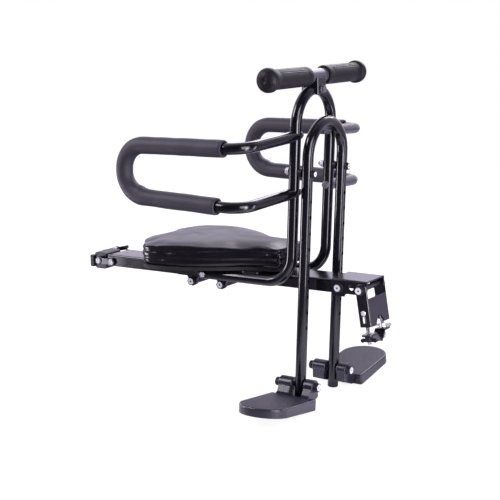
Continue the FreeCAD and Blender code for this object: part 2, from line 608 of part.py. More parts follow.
# carriage: channel that rides on the beam, with two pairs of lugs drawn together under it
car_in = half_beam + SLACK
car_out = car_in + SHEET
carriage = channel(CAR_X0, CAR_X1, car_in, SLACK, SHEET, -BEAM_H)
for x in LUG_XS:
    for side in (-1, 1):
        ys = sorted((side * (car_in - 3), side * car_out))
        lug = block(x - LUG_R - 3, x + LUG_R + 3, ys[0], ys[1], LUG_Z, -BEAM_H + 1)
        for way in (-1, 1):
            hollow_x = x + way * (LUG_R + 6)
            lug = lug.cut(rod(6, V(hollow_x, -60, LUG_Z + 1), V(hollow_x, 60, LUG_Z + 1)))
        carriage = carriage.fuse(lug).fuse(rod(LUG_R, V(x, ys[0], LUG_Z), V(x, ys[1], LUG_Z)))
    carriage = carriage.cut(cross_hole(x, LUG_Z, M8 + HOLE, 60))
carriage = carriage.cut(block(CAR_X0 - 1, CAR_X1 + 1, -car_in, car_in, -BEAM_H - 2 * SLACK, 0))
# bolsters under the seat board, bosses out to the rails
carriage_top = SLACK + SHEET
board_z0 = PAD_Z0 - 0.15 - BOARD_T
for x0 in (CAR_X0 + 10, CAR_X1 - 24):
    riser = block(x0, x0 + 14, -car_out + 4, car_out - 4, carriage_top - 0.5, board_z0 - TOUCH)
    carriage = carriage.fuse(riser)
for side in (-1, 1):
    boss = rod(7.0, V(RAIL_BOLT_X, side * (car_out - 1), RAIL_Z), V(RAIL_BOLT_X, side * HALF_TRACK, RAIL_Z))
    y = side * HALF_TRACK
    rail = rod(TUBE_R + TOUCH, V(RAIL_X0 - 30, y, RAIL_Z), V(RAIL_X0 + 60, y, RAIL_Z))
    carriage = carriage.fuse(boss.cut(rail))
    drill = rod(M5 + TOUCH, V(RAIL_BOLT_X, side * (car_out + 0.5), RAIL_Z), V(RAIL_BOLT_X, side * 80, RAIL_Z))
    carriage = carriage.cut(drill)
    seat_frame = seat_frame.cut(drill)
put("carriage", carriage.removeSplitter())

rail_bolts = []
for side in (-1, 1):
    head = V(RAIL_BOLT_X, side * (HALF_TRACK + TUBE_R + TOUCH), RAIL_Z)
    rail_bolts.append(bolt(M5, head, V(RAIL_BOLT_X, side * (car_out + 1), RAIL_Z), washer=False))
put("rail_bolts", *rail_bolts)
put("seat_frame", seat_frame)

clamp_bolts = []
clamp_nuts = []
clamp_spacers = []
for x in LUG_XS:
    lug_face = car_out + TOUCH
    clamp_bolts.append(bolt(M8, V(x, -lug_face, LUG_Z), V(x, lug_face + 10, LUG_Z)))
    clamp_nuts.append(nut(M8, V(x, lug_face, LUG_Z), LEFT))
    sleeve = rod(6.2, V(x, -car_in + 3.1, LUG_Z), V(x, car_in - 3.1, LUG_Z))
    clamp_spacers.append(sleeve.cut(cross_hole(x, LUG_Z, M8 + TOUCH, 60)))
put("carriage_bolts", *clamp_bolts)
put("carriage_nuts", *clamp_nuts)
put("carriage_sleeves", *clamp_spacers)

plate_half = HALF_TRACK + 1
nose_plate = block(PAD_NOSE - 68, PAD_NOSE - 36, -plate_half, plate_half,
                   RAIL_Z + TUBE_R + TOUCH, board_z0 - TOUCH)
nose_plate = nose_plate.makeFillet(6.0, edges_where(nose_plate, lambda c, e: along(e, UP)))
put("nose_plate", nose_plate)


# cushion and its board: narrow nose between the legs, flared to a broad rear
def seat_outline(inset, z):
    nose = PAD_NOSE - inset
    rear = PAD_REAR + inset
    slim = PAD_NOSE_HALF - inset
    wide = PAD_HALF - inset
    corner = 15.0
    bend = corner * (1 - math.sqrt(0.5))
    right = []
    right.append(Part.Arc(V(nose, -slim + corner, z), V(nose - bend, -slim + bend, z),
                          V(nose - corner, -slim, z)).toShape())
    flank = Part.BSplineCurve()
    flank.interpolate([V(nose - corner, -slim, z), V(-125, -63 + inset, z), V(-180, -93 + inset, z),
                       V(-228, -wide + 4, z), V(-262, -wide, z)],
                      InitialTangent=V(-1, 0, 0), FinalTangent=V(-1, 0, 0))
    right.append(flank.toShape())
    heel = Part.BSplineCurve()
    heel.interpolate([V(-262, -wide, z), V(rear + 15, -wide + 24, z), V(rear + 2, -wide * 0.45, z),
                      V(rear, 0, z)],
                     InitialTangent=V(-1, 0, 0), FinalTangent=V(0, 1, 0))
    right.append(heel.toShape())
    left = [mirrored(edge) for edge in right]
    front = Part.makeLine(V(nose, -slim + corner, z), V(nose, slim - corner, z))
    return Part.Wire(Part.__sortEdges__(right + left + [front]))


def slab(inset, z0, z1, low_r, high_r):
    made = Part.Face(seat_outline(inset, z0)).extrude(UP * (z1 - z0))
    made = made.makeFillet(low_r, edges_where(made, lambda c, e: abs(c.z - z0) < 1e-3))
    return made.makeFillet(high_r, edges_where(made, lambda c, e: abs(c.z - z1) < 1e-3))


board = Part.Face(seat_outline(BOARD_INSET, board_z0)).extrude(UP * BOARD_T)
put("seat_board", board)

# three soft bands show on the cushion's wall, with a sewn crease between each
crease_low = PAD_Z0 + 8.5
crease_high = PAD_Z0 + 17.5
cushion = slab(2.0, PAD_Z0, crease_low + 0.4, 4.0, 2.2)
cushion = cushion.fuse(slab(0.4, crease_low - 0.4, crease_high + 0.4, 2.6, 2.6))
cushion = cushion.fuse(slab(0.0, crease_high - 0.4, PAD_Z1, 2.6, 9.0))
put("cushion", cushion)


# footrests: hollow tread on two knuckles that fold up about a bolt through the leg
def footrest():
    pin = leg_point(LEG_X, FOOT_AXIS_Z, HALF_TRACK)
    y0 = HALF_TRACK + FOOT_IN
    y1 = HALF_TRACK + FOOT_OUT
    z1 = FOOT_AXIS_Z - FOOT_TOP
    z0 = z1 - FOOT_T
    x0 = FOOT_MID_X - FOOT_HALF
    x1 = FOOT_MID_X + FOOT_HALF
    round_y = y1 - FOOT_HALF * 0.86

    def tread(gap, low, high):
        sides = [Part.makeLine(V(x1 - gap, round_y, low), V(x1 - gap, y0 + gap, low)),
                 Part.makeLine(V(x1 - gap, y0 + gap, low), V(x0 + gap, y0 + gap, low)),
                 Part.makeLine(V(x0 + gap, y0 + gap, low), V(x0 + gap, round_y, low))]
        toe = Part.Ellipse(V(FOOT_MID_X - FOOT_HALF + gap, round_y, low), V(FOOT_MID_X, y1 - gap, low),
                           V(FOOT_MID_X, round_y, low))
        full = toe.toShape()
        arc = [e for e in full.cut(block(x0 - 9, x1 + 9, -500, round_y, low - 1, low + 1)).Edges]
        face = Part.Face(Part.Wire(Part.__sortEdges__(sides + arc)))
        return face.extrude(UP * (high - low))

    plate = tread(0.0, z0, z1)
    plate = plate.makeFillet(3.0, edges_where(plate, lambda c, e: along(e, UP) and c.y < y0 + 1))
    plate = plate.makeFillet(2.2, edges_where(plate, lambda c, e: abs(c.z - z1) < 1e-3))
    plate = plate.cut(tread(FOOT_WALL, z0 - 1, z1 - FOOT_WALL - 1))
    # ribs under the tread
    for share in (-0.5, 0, 0.5):
        x = FOOT_MID_X + share * FOOT_HALF
        rib = block(x - 1.2, x + 1.2, y0 + 1, y1 - FOOT_HALF * 0.4, z0 + 1, z1 - FOOT_WALL)
        plate = plate.fuse(rib)
    # the underside rises to a thinner rim, and the whole plate climbs outwards
    wedge = Part.Face(Part.makePolygon([V(x0 - 5, y0, z0), V(x0 - 5, y1 + 5, z0 + FOOT_THIN),
                                        V(x0 - 5, y1 + 5, z0 - 5), V(x0 - 5, y0, z0)]))
    plate = plate.cut(wedge.extrude(FORE * (x1 - x0 + 10)))
    plate.rotate(V(0, y0, z1), FORE, FOOT_RISE)
    slot0 = pin.x - TUBE_R - 2.6
    slot1 = pin.x + TUBE_R + 1.5
    for a, b in ((slot0 - KNUCKLE_AFT, slot0), (slot1, slot1 + KNUCKLE_FORE)):
        knuckle = rod(KNUCKLE_R, V(a, HALF_TRACK, FOOT_AXIS_Z), V(b, HALF_TRACK, FOOT_AXIS_Z))
        knuckle = knuckle.makeFillet(1.4, [e for e in knuckle.Edges if isinstance(e.Curve, Part.Circle)])
        # a cheek joins each knuckle to the plate's inner edge, hollowed down to the tread
        shin = y0 + FOOT_WALL - 0.5
        hip0 = HALF_TRACK - KNUCKLE_R + 0.6
        hip1 = HALF_TRACK + KNUCKLE_R - 0.6
        face = a + 1.4
        cheek = Part.Face(Part.makePolygon([
            V(face, hip0, FOOT_AXIS_Z), V(face, hip0, z1 - 6), V(face, y0 - 4, z0 + 1), V(face, shin, z0 + 1),
            V(face, shin, z1 - 1), V(face, y0 - 3, z1 + 2), V(face, hip1, FOOT_AXIS_Z),
            V(face, hip0, FOOT_AXIS_Z)]))
        plate = plate.fuse(knuckle).fuse(cheek.extrude(FORE * (b - a - 2.8)))
    bore = rod(FOOT_PIN_R + RUN, V(-200, HALF_TRACK, FOOT_AXIS_Z), V(200, HALF_TRACK, FOOT_AXIS_Z))
    return plate.cut(bore).removeSplitter(), slot0 - KNUCKLE_AFT, slot1 + KNUCKLE_FORE


left_foot, knuckle_aft, knuckle_fore = footrest()
put("left_footrest", left_foot)
put("right_footrest", mirrored(left_foot))

foot_bolts = []
foot_caps = []
for side in (-1, 1):
    y = side * HALF_TRACK
    head = V(knuckle_fore + SLACK, y, FOOT_AXIS_Z)
    tip = V(knuckle_aft - 6, y, FOOT_AXIS_Z)
    foot_bolts.append(bolt(FOOT_PIN_R, head, tip))
    seat = V(knuckle_aft - SLACK, y, FOOT_AXIS_Z)
    cap = Part.makeCone(7.5, 6.8, 8.5, seat, FORE * -1)
    cap = cap.makeFillet(1.5, edges_where(cap, lambda c, e: c.x < knuckle_aft - 8))
    foot_caps.append(cap.cut(rod(FOOT_PIN_R + TOUCH, V(tip.x - TOUCH, y, FOOT_AXIS_Z), seat + FORE)))
put("footrest_bolts", *foot_bolts)
put("footrest_caps", *foot_caps)
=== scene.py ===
import math

import bmesh
import bpy
from mathutils import Matrix, Vector, noise


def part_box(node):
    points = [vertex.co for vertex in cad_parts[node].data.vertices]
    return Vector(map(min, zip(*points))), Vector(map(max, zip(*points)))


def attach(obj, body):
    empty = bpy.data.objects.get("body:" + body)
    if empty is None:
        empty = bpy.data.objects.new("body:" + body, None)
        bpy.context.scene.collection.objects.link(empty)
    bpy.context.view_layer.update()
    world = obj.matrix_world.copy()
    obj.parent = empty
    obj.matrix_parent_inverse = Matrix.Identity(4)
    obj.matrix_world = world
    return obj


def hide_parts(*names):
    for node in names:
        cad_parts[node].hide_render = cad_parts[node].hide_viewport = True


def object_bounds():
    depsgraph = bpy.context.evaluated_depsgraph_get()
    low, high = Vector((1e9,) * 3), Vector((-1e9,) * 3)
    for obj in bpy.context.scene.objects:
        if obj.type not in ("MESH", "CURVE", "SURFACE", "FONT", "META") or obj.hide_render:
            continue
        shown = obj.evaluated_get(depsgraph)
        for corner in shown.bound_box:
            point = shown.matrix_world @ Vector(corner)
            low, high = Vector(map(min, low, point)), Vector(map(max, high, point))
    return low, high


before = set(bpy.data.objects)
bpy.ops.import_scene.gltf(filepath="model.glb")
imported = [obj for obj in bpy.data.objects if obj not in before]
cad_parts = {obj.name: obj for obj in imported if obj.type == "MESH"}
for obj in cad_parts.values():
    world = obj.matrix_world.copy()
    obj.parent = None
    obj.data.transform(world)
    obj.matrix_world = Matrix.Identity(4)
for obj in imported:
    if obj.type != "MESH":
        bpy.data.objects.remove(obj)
cad_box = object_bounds()

# Beam, the carriage under the seat and the sheet-metal clamp parts.
# Folded from mild steel sheet and stoved in gloss black enamel, which pools a little along the folds
# and keeps a faint orange peel on the flats.

# a mix node's colour inputs, shown at factor 0 and at factor 1, and its colour output
at_0, at_1, blended = 6, 7, 2


def linear(code):
    parts = [int(code[k:k + 2], 16) / 255 for k in (1, 3, 5)]
    return [p / 12.92 if p <= 0.04045 else ((p + 0.055) / 1.055) ** 2.4 for p in parts] + [1.0]


def per_mm(size):
    """Scale of a pattern whose features are this many millimetres across."""
    return 1000.0 / size


def add(finish, kind, inputs, **settings):
    made = finish.node_tree.nodes.new(kind)
    for name, value in settings.items():
        setattr(made, name, value)
    for name, value in inputs.items():
        if isinstance(value, bpy.types.NodeSocket):
            finish.node_tree.links.new(value, made.inputs[name])
        else:
            made.inputs[name].default_value = value
    return made


def new_finish(name):
    """An empty material, and the place on the object that its patterns follow."""
    finish = bpy.data.materials.new(name)
    finish.use_nodes = True
    finish.node_tree.nodes.remove(finish.node_tree.nodes["Principled BSDF"])
    return finish, add(finish, "ShaderNodeTexCoord", {}).outputs["Object"]


def cover(finish, shader):
    surface = finish.node_tree.nodes["Material Output"].inputs["Surface"]
    finish.node_tree.links.new(shader.outputs[0], surface)


def dress(finish, *names):
    for name in names:
        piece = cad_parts[name]
        piece.data.materials.clear()
        piece.data.materials.append(finish)


# black enamel: deep black that drifts between two near tones, with gloss that drifts with it
sheet_enamel, place = new_finish("stoved_enamel_on_sheet")
drift = add(sheet_enamel, "ShaderNodeTexNoise",
            {"Vector": place, "Scale": per_mm(30), "Detail": 4.0})
tone = add(sheet_enamel, "ShaderNodeMix",
           {"Factor": drift.outputs["Fac"], at_0: linear("#08070b"), at_1: linear("#131119")},
           data_type="RGBA")
gloss = add(sheet_enamel, "ShaderNodeMapRange",
            {"Value": drift.outputs["Fac"], "From Min": 0.3, "From Max": 0.7,
             "To Min": 0.14, "To Max": 0.24})
peel = add(sheet_enamel, "ShaderNodeTexNoise",
           {"Vector": place, "Scale": per_mm(1.8), "Detail": 2.0})
# paint rounds every cut edge of the sheet to about half a millimetre
edges = add(sheet_enamel, "ShaderNodeBevel", {"Radius": 0.0006}, samples=4)
skin = add(sheet_enamel, "ShaderNodeBump",
           {"Height": peel.outputs["Fac"], "Strength": 0.05, "Distance": 0.0003,
            "Normal": edges.outputs["Normal"]})
cover(sheet_enamel, add(sheet_enamel, "ShaderNodeBsdfPrincipled",
                        {"Base Color": tone.outputs[blended], "Roughness": gloss.outputs["Result"],
                         "Normal": skin.outputs["Normal"], "IOR": 1.62}))
dress(sheet_enamel, "beam", "clamp_bracket", "clamp_arm", "jaw", "latch_lever", "links", "carriage",
      "nose_plate", "bar_saddle")

# Nuts, the wing nut, the clamp's cross pin, the rail bolts and the threaded plugs in the guards.
# Cold-headed and turned steel in bright zinc, a cool silver with soft cloudy patches.
bright_zinc, place = new_finish("bright_zinc_plate")
cloud = add(bright_zinc, "ShaderNodeTexNoise",
            {"Vector": place, "Scale": per_mm(5), "Detail": 4.0})
tone = add(bright_zinc, "ShaderNodeMix",
           {"Factor": cloud.outputs["Fac"], at_0: linear("#bfbfc7"), at_1: linear("#efeff3")},
           data_type="RGBA")
gloss = add(bright_zinc, "ShaderNodeMapRange",
            {"Value": cloud.outputs["Fac"], "From Min": 0.3, "From Max": 0.7,
             "To Min": 0.18, "To Max": 0.34})
marks = add(bright_zinc, "ShaderNodeTexNoise",
            {"Vector": place, "Scale": per_mm(0.7), "Detail": 2.0})
edges = add(bright_zinc, "ShaderNodeBevel", {"Radius": 0.0004}, samples=4)
skin = add(bright_zinc, "ShaderNodeBump",
           {"Height": marks.outputs["Fac"], "Strength": 0.1, "Distance": 0.0001,
            "Normal": edges.outputs["Normal"]})
cover(bright_zinc, add(bright_zinc, "ShaderNodeBsdfPrincipled",
                       {"Base Color": tone.outputs[blended], "Metallic": 0.4,
                        "Roughness": gloss.outputs["Result"], "Normal": skin.outputs["Normal"]}))
dress(bright_zinc, "bracket_nut", "arm_pivot_nut", "cross_pin", "wing_nut", "lock_nut",
      "carriage_nuts", "rail_bolts", "frame_nuts", "guard_plugs")

# Sleeves on the carriage bolts and the spacers between the two frames.
# Cut from plated tube, painted nearly black for the shade under the beam and between the frames.
zinc_darkened_for_shade, place = new_finish("zinc_painted_shade_dark")
cloud = add(zinc_darkened_for_shade, "ShaderNodeTexNoise",
            {"Vector": place, "Scale": per_mm(5), "Detail": 4.0})
# painted shade: the whole sleeve and spacer tone is near black
tone = add(zinc_darkened_for_shade, "ShaderNodeMix",
           {"Factor": cloud.outputs["Fac"], at_0: linear("#17161b"), at_1: linear("#2c2a31")},
           data_type="RGBA")
cover(zinc_darkened_for_shade, add(zinc_darkened_for_shade, "ShaderNodeBsdfPrincipled",
                     {"Base Color": tone.outputs[blended], "Metallic": 0.5, "Roughness": 0.35}))
dress(zinc_darkened_for_shade, "carriage_sleeves", "frame_spacers")

# Hex bolts of bracket, arm, carriage, frame and footrests, with a washer rolled on under each head.
# The face is bright zinc, and the dimple, the flanks, the washer and the shank are darkened with
# painted shade.

# shares of the washer's radius: where the dimple ends, and where the bright face turns to the flanks
dimple_dark, dimple_ends = 0.14, 0.24
face_ends, flank_dark = 0.6, 0.68
# each bolt with the axis it lies along, the way its head points and the height of the head
for name, axis, way, head in (("bracket_bolt", "Y", -1, 0.005), ("arm_pivot_bolt", "Y", -1, 0.005),
                              ("carriage_bolts", "Y", -1, 0.005), ("frame_bolts", "X", 1, 0.0037),
                              ("footrest_bolts", "X", 1, 0.005)):
    zinc_with_painted_shade, place = new_finish("zinc_with_painted_shade_" + name)
    low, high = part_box(name)
    middle = (low + high) / 2
    size = high - low
    lengthwise = "XYZ".index(axis)
    wide, narrow = sorted((k for k in range(3) if k != lengthwise), key=lambda k: -size[k])
    washer_r = size[narrow] / 2
    off_middle = size[wide] / 2 - washer_r
    under_head = (high if way > 0 else low)[lengthwise] - way * head
    parts = add(zinc_with_painted_shade, "ShaderNodeSeparateXYZ", {"Vector": place})
    behind = add(zinc_with_painted_shade, "ShaderNodeMapRange",
                 {"Value": parts.outputs[lengthwise], "From Min": under_head + way * 0.0001,
                  "From Max": under_head - way * 0.0004})
    # distance from the bolt's axis, with the two bolts of a pair folded on to one
    shift = add(zinc_with_painted_shade, "ShaderNodeMath", {0: parts.outputs[wide], 1: middle[wide]},
                operation="SUBTRACT")
    fold = add(zinc_with_painted_shade, "ShaderNodeMath", {0: shift.outputs["Value"]}, operation="ABSOLUTE")
    over = add(zinc_with_painted_shade, "ShaderNodeMath", {0: fold.outputs["Value"], 1: off_middle},
               operation="SUBTRACT")
    up = add(zinc_with_painted_shade, "ShaderNodeMath", {0: parts.outputs[narrow], 1: middle[narrow]},
             operation="SUBTRACT")
    flat = add(zinc_with_painted_shade, "ShaderNodeCombineXYZ",
               {"X": over.outputs["Value"], "Y": up.outputs["Value"]})
    away = add(zinc_with_painted_shade, "ShaderNodeVectorMath", {0: flat.outputs["Vector"]}, operation="LENGTH")
    flank = add(zinc_with_painted_shade, "ShaderNodeMapRange",
                {"Value": away.outputs["Value"], "From Min": washer_r * face_ends,
                 "From Max": washer_r * flank_dark})
    dimple = add(zinc_with_painted_shade, "ShaderNodeMapRange",
                 {"Value": away.outputs["Value"], "From Min": washer_r * dimple_ends,
                  "From Max": washer_r * dimple_dark})
    on_head = add(zinc_with_painted_shade, "ShaderNodeMath",
                  {0: flank.outputs["Result"], 1: dimple.outputs["Result"]}, operation="MAXIMUM")
    # painted shade: dark in the dimple, on the flanks and on the washer and shank under the head
    painted_shade = add(zinc_with_painted_shade, "ShaderNodeMath",
               {0: on_head.outputs["Value"], 1: behind.outputs["Result"]}, operation="MAXIMUM")
    cloud = add(zinc_with_painted_shade, "ShaderNodeTexNoise",
                {"Vector": place, "Scale": per_mm(5), "Detail": 4.0})
    bright_face_tone = add(zinc_with_painted_shade, "ShaderNodeMix",
                {"Factor": cloud.outputs["Fac"], at_0: linear("#dcdce2"), at_1: linear("#fbfbfd")},
                data_type="RGBA")
    shade_tone = add(zinc_with_painted_shade, "ShaderNodeMix",
                 {"Factor": cloud.outputs["Fac"], at_0: linear("#1b1a20"), at_1: linear("#34323a")},
                 data_type="RGBA")
    tone = add(zinc_with_painted_shade, "ShaderNodeMix",
               {"Factor": painted_shade.outputs["Value"], at_0: bright_face_tone.outputs[blended],
                at_1: shade_tone.outputs[blended]}, data_type="RGBA")
    edges = add(zinc_with_painted_shade, "ShaderNodeBevel", {"Radius": 0.0004}, samples=4)
    cover(zinc_with_painted_shade, add(zinc_with_painted_shade, "ShaderNodeBsdfPrincipled",
                          {"Base Color": tone.outputs[blended], "Metallic": 0.25, "Roughness": 0.25,
                           "Normal": edges.outputs["Normal"]}))
    dress(zinc_with_painted_shade, name)

# Rivet pins of links and lever, and the screws of guards and handlebar saddle.
# Barrelled steel, a darker grey than the bolts, with worn patches.
barrelled_steel, place = new_finish("barrelled_steel")
cloud = add(barrelled_steel, "ShaderNodeTexNoise",
            {"Vector": place, "Scale": per_mm(2.5), "Detail": 4.0})
tone = add(barrelled_steel, "ShaderNodeMix",
           {"Factor": cloud.outputs["Fac"], at_0: linear("#4b4a52"), at_1: linear("#a5a4ac")},
           data_type="RGBA")
edges = add(barrelled_steel, "ShaderNodeBevel", {"Radius": 0.0005}, samples=4)
cover(barrelled_steel, add(barrelled_steel, "ShaderNodeBsdfPrincipled",
                           {"Base Color": tone.outputs[blended], "Metallic": 0.8, "Roughness": 0.42,
                            "Normal": edges.outputs["Normal"]}))
dress(barrelled_steel, "link_pin", "cradle_pin", "lever_pin", "guard_bolts", "saddle_bolt",
      "saddle_nut")

# Swing studs of the clamp, eye bolts with an M6 thread rolled along the shank.
# Same bright zinc, with the thread's crests catching the light as fine rings.
stud_lean = math.radians(8.2)
thread_pitch_mm = 1.0
thread_zinc, place = new_finish("rolled_thread_zinc")
cloud = add(thread_zinc, "ShaderNodeTexNoise",
            {"Vector": place, "Scale": per_mm(5), "Detail": 4.0})
tone = add(thread_zinc, "ShaderNodeMix",
           {"Factor": cloud.outputs["Fac"], at_0: linear("#a9aab1"), at_1: linear("#dedee3")},
           data_type="RGBA")
rise = add(thread_zinc, "ShaderNodeVectorMath",
           {0: place, 1: (-math.sin(stud_lean), 0, math.cos(stud_lean))}, operation="DOT_PRODUCT")
turns = add(thread_zinc, "ShaderNodeMath",
            {0: rise.outputs["Value"], 1: 2 * math.pi * per_mm(thread_pitch_mm)},
            operation="MULTIPLY")
crest = add(thread_zinc, "ShaderNodeMath", {0: turns.outputs["Value"]}, operation="SINE")
skin = add(thread_zinc, "ShaderNodeBump",
           {"Height": crest.outputs["Value"], "Strength": 0.7, "Distance": 0.0003})
cover(thread_zinc, add(thread_zinc, "ShaderNodeBsdfPrincipled",
                       {"Base Color": tone.outputs[blended], "Metallic": 1.0, "Roughness": 0.3,
                        "Normal": skin.outputs["Normal"]}))
dress(thread_zinc, "swing_studs")

# Clamp knob, cradle block, tube plugs and the nut caps on the footrest bolts.
# Injection moulded black polypropylene from a spark-textured mould, satin with a fine even grain.
moulded_pp, place = new_finish("moulded_polypropylene")
flow = add(moulded_pp, "ShaderNodeTexNoise",
           {"Vector": place, "Scale": per_mm(26), "Detail": 3.0})
tone = add(moulded_pp, "ShaderNodeMix",
           {"Factor": flow.outputs["Fac"], at_0: linear("#17161f"), at_1: linear("#24222d")},
           data_type="RGBA")
gloss = add(moulded_pp, "ShaderNodeMapRange",
            {"Value": flow.outputs["Fac"], "From Min": 0.3, "From Max": 0.7,
             "To Min": 0.3, "To Max": 0.4})
# spark texture is near 0.2 mm and is drawn at 0.8 mm so that it shows
grain = add(moulded_pp, "ShaderNodeTexNoise",
            {"Vector": place, "Scale": per_mm(0.8), "Detail": 2.0})
edges = add(moulded_pp, "ShaderNodeBevel", {"Radius": 0.0008}, samples=4)
skin = add(moulded_pp, "ShaderNodeBump",
           {"Height": grain.outputs["Fac"], "Strength": 0.1, "Distance": 0.0002,
            "Normal": edges.outputs["Normal"]})
cover(moulded_pp, add(moulded_pp, "ShaderNodeBsdfPrincipled",
                      {"Base Color": tone.outputs[blended], "Roughness": gloss.outputs["Result"],
                       "Normal": skin.outputs["Normal"], "Specular IOR Level": 0.18}))
dress(moulded_pp, "footrest_caps", "leg_plugs", "rail_plugs", "clamp_knob", "cradle_block")

# Vee pad of the head-tube cradle, pressed from solid rubber and glued to its block.
# Dull black with a dusty bloom.
pressed_rubber, place = new_finish("pressed_rubber")
bloom = add(pressed_rubber, "ShaderNodeTexNoise",
            {"Vector": place, "Scale": per_mm(8), "Detail": 5.0})
tone = add(pressed_rubber, "ShaderNodeMix",
           {"Factor": bloom.outputs["Fac"], at_0: linear("#131215"), at_1: linear("#26252a")},
           data_type="RGBA")
skin = add(pressed_rubber, "ShaderNodeBump",
           {"Height": bloom.outputs["Fac"], "Strength": 0.25, "Distance": 0.0003})
cover(pressed_rubber, add(pressed_rubber, "ShaderNodeBsdfPrincipled",
                          {"Base Color": tone.outputs[blended], "Roughness": 0.66,
                           "Normal": skin.outputs["Normal"]}))
dress(pressed_rubber, "cradle_pad")

# Seat frame, leg frame and guards, cold-bent from 17 mm steel tube.
# The enamel runs smoother and glossier on drawn tube than on sheet, so long thin highlights stand
# on it.
tube_enamel, place = new_finish("stoved_enamel_on_tube")
drift = add(tube_enamel, "ShaderNodeTexNoise",
            {"Vector": place, "Scale": per_mm(45), "Detail": 3.0})
tone = add(tube_enamel, "ShaderNodeMix",
           {"Factor": drift.outputs["Fac"], at_0: linear("#070609"), at_1: linear("#121117")},
           data_type="RGBA")
gloss = add(tube_enamel, "ShaderNodeMapRange",
            {"Value": drift.outputs["Fac"], "From Min": 0.3, "From Max": 0.7,
             "To Min": 0.1, "To Max": 0.18})
peel = add(tube_enamel, "ShaderNodeTexNoise",
           {"Vector": place, "Scale": per_mm(2.2), "Detail": 1.0})
skin = add(tube_enamel, "ShaderNodeBump",
           {"Height": peel.outputs["Fac"], "Strength": 0.05, "Distance": 0.0003})
cover(tube_enamel, add(tube_enamel, "ShaderNodeBsdfPrincipled",
                       {"Base Color": tone.outputs[blended], "Roughness": gloss.outputs["Result"],
                        "Normal": skin.outputs["Normal"], "IOR": 1.52}))
dress(tube_enamel, "seat_frame", "leg_frame", "left_guard", "right_guard")

# Handlebar, 22 mm tube that shows between the grips.
# A thinner coat than on the frame, satin so that it spreads the light, painted lilac grey for the
# sheen.
bar_enamel_painted_sheen, place = new_finish("satin_enamel_painted_sheen_bar")
drift = add(bar_enamel_painted_sheen, "ShaderNodeTexNoise",
            {"Vector": place, "Scale": per_mm(14), "Detail": 4.0})
# painted sheen: the lilac grey tone stands in for light lying along the bar
tone = add(bar_enamel_painted_sheen, "ShaderNodeMix",
           {"Factor": drift.outputs["Fac"], at_0: linear("#3c3a44"), at_1: linear("#4d4a56")},
           data_type="RGBA")
cover(bar_enamel_painted_sheen, add(bar_enamel_painted_sheen, "ShaderNodeBsdfPrincipled",
                      {"Base Color": tone.outputs[blended], "Roughness": 0.36}))
dress(bar_enamel_painted_sheen, "handle_bar")

# Footrests, each a thick moulded plate with a tread of small raised bars in staggered rows.
# The bars stand 0.12 mm proud of the sloping top, inside a plain rim, and a painted paler tone for
# glints makes them read as a fine speckle.

# filled nylon: black with a lilac cast, glossy at sides and hinge, and scuffed dull on the tread
filled_nylon, place = new_finish("filled_nylon")
flow = add(filled_nylon, "ShaderNodeTexNoise",
           {"Vector": place, "Scale": per_mm(26), "Detail": 3.0})
fresh = add(filled_nylon, "ShaderNodeMix",
            {"Factor": flow.outputs["Fac"], at_0: linear("#1b1a25"), at_1: linear("#262431")},
            data_type="RGBA")
scuffed = add(filled_nylon, "ShaderNodeMix",
              {"Factor": flow.outputs["Fac"], at_0: linear("#1b1924"), at_1: linear("#272431")},
              data_type="RGBA")
facing = add(filled_nylon, "ShaderNodeSeparateXYZ", {"Vector": place.node.outputs["Normal"]})
trodden = add(filled_nylon, "ShaderNodeMapRange",
              {"Value": facing.outputs["Z"], "From Min": 0.9, "From Max": 0.97})
tone = add(filled_nylon, "ShaderNodeMix",
           {"Factor": trodden.outputs["Result"], at_0: fresh.outputs[blended],
            at_1: scuffed.outputs[blended]}, data_type="RGBA")
gloss = add(filled_nylon, "ShaderNodeMapRange",
            {"Value": trodden.outputs["Result"], "To Min": 0.26, "To Max": 0.42})
shine = add(filled_nylon, "ShaderNodeMapRange",
            {"Value": trodden.outputs["Result"], "To Min": 0.6, "To Max": 0.1})
# spark texture is near 0.2 mm and is drawn at 0.8 mm so that it shows
grain = add(filled_nylon, "ShaderNodeTexNoise",
            {"Vector": place, "Scale": per_mm(0.8), "Detail": 2.0})
edges = add(filled_nylon, "ShaderNodeBevel", {"Radius": 0.0016}, samples=4)
skin = add(filled_nylon, "ShaderNodeBump",
           {"Height": grain.outputs["Fac"], "Strength": 0.12, "Distance": 0.0002,
            "Normal": edges.outputs["Normal"]})
cover(filled_nylon, add(filled_nylon, "ShaderNodeBsdfPrincipled",
                        {"Base Color": tone.outputs[blended], "Roughness": gloss.outputs["Result"],
                         "Normal": skin.outputs["Normal"],
                         "Specular IOR Level": shine.outputs["Result"]}))
dress(filled_nylon, "left_footrest", "right_footrest")

# tread nylon: the tread bars painted paler than the plate, a painted glint on the bar tops
tread_nylon_painted_glint, place = new_finish("tread_nylon_painted_glint")
flow = add(tread_nylon_painted_glint, "ShaderNodeTexNoise",
           {"Vector": place, "Scale": per_mm(12), "Detail": 3.0})
tone = add(tread_nylon_painted_glint, "ShaderNodeMix",
           {"Factor": flow.outputs["Fac"], at_0: linear("#302d3b"), at_1: linear("#3d394a")},
           data_type="RGBA")
cover(tread_nylon_painted_glint, add(tread_nylon_painted_glint, "ShaderNodeBsdfPrincipled",
                        {"Base Color": tone.outputs[blended], "Roughness": 0.36,
                         "Specular IOR Level": 0.16}))


def new_piece(name, verts, faces, finish):
    mesh = bpy.data.meshes.new(name)
    mesh.from_pydata(verts, [], faces)
    mesh.validate()
    piece = bpy.data.objects.new(name, mesh)
    bpy.context.scene.collection.objects.link(piece)
    mesh.materials.append(finish)
    mesh.polygons.foreach_set("use_smooth", [True] * len(mesh.polygons))
    return piece


def band(first, second, around):
    """Faces between two rings of points, given where each ring starts."""
    return [(first + turn, first + (turn + 1) % around, second + (turn + 1) % around, second + turn)
            for turn in range(around)]


